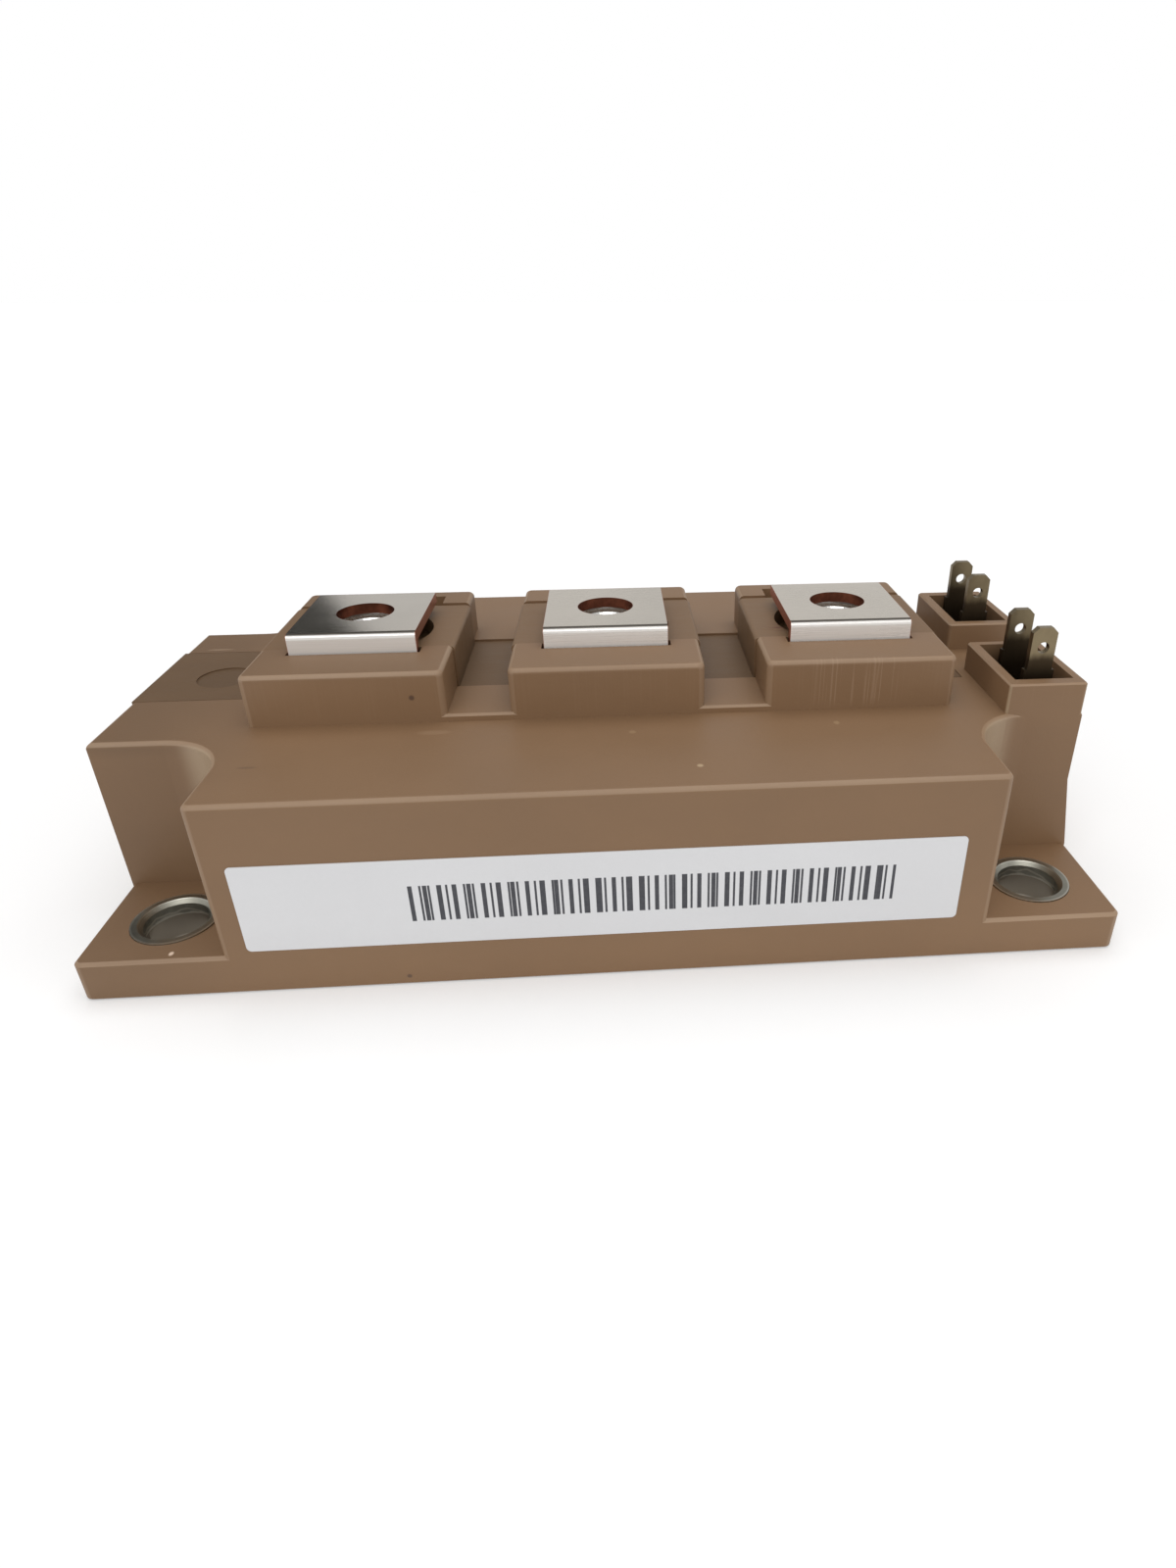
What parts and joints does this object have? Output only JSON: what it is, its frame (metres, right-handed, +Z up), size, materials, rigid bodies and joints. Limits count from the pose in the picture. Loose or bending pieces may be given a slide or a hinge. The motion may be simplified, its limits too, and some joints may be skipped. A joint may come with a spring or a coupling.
{
  "type": "half-bridge power module",
  "caption": "Flat-based half-bridge transistor power module with screw terminals along the top and push-on control tabs.",
  "frame": {"origin": "centre of the base plate's underside, the face that lies on the heat sink", "axes": "+X along the length, towards the control tabs; +Y from the label side to the rear; +Z up, out of the heat sink"},
  "size_m": [0.108, 0.0621, 0.0307],
  "materials": {
    "moulded_housing": "satin",
    "moulded_lid": "satin",
    "plated_copper_base": "satin",
    "plated_copper_terminal": "satin",
    "steel_nut": "satin",
    "steel_collar": "satin",
    "tinned_tab": "satin",
    "bare_copper": "satin",
    "aluminium_bond": "satin",
    "white_ceramic": "matte",
    "silicon_chip": "gloss",
    "silicone_gel": "gloss",
    "paper_label": "satin"
  },
  "bodies": {
    "root": {"base_plate": "plated_copper_base", "case": "moulded_housing", "control_socket_front": "moulded_housing", "control_socket_rear": "moulded_housing", "lid": "moulded_lid", "label": "paper_label", "gel": "silicone_gel", "bridge_link": "bare_copper", "terminal_nut_left": "steel_nut", "power_terminal_left": "plated_copper_terminal", "terminal_nut_middle": "steel_nut", "power_terminal_middle": "plated_copper_terminal", "terminal_nut_right": "steel_nut", "power_terminal_right": "plated_copper_terminal", "mounting_collar_1": "steel_collar", "control_tab_1": "tinned_tab", "transistor_chip_1": "silicon_chip", "diode_chip_1": "silicon_chip", "bond_ribbons_1": "aluminium_bond", "control_lead_1": "bare_copper", "mounting_collar_2": "steel_collar", "control_tab_2": "tinned_tab", "transistor_chip_2": "silicon_chip", "diode_chip_2": "silicon_chip", "bond_ribbons_2": "aluminium_bond", "control_lead_2": "bare_copper", "mounting_collar_3": "steel_collar", "control_tab_3": "tinned_tab", "transistor_chip_3": "silicon_chip", "diode_chip_3": "silicon_chip", "bond_ribbons_3": "aluminium_bond", "control_lead_3": "bare_copper", "mounting_collar_4": "steel_collar", "control_tab_4": "tinned_tab", "transistor_chip_4": "silicon_chip", "diode_chip_4": "silicon_chip", "bond_ribbons_4": "aluminium_bond", "control_lead_4": "bare_copper", "substrate_low": "white_ceramic", "substrate_backing_low": "bare_copper", "substrate_copper_low": "bare_copper", "signal_bonds_low": "aluminium_bond", "substrate_high": "white_ceramic", "substrate_backing_high": "bare_copper", "substrate_copper_high": "bare_copper", "signal_bonds_high": "aluminium_bond"}
  },
  "joints": []
}
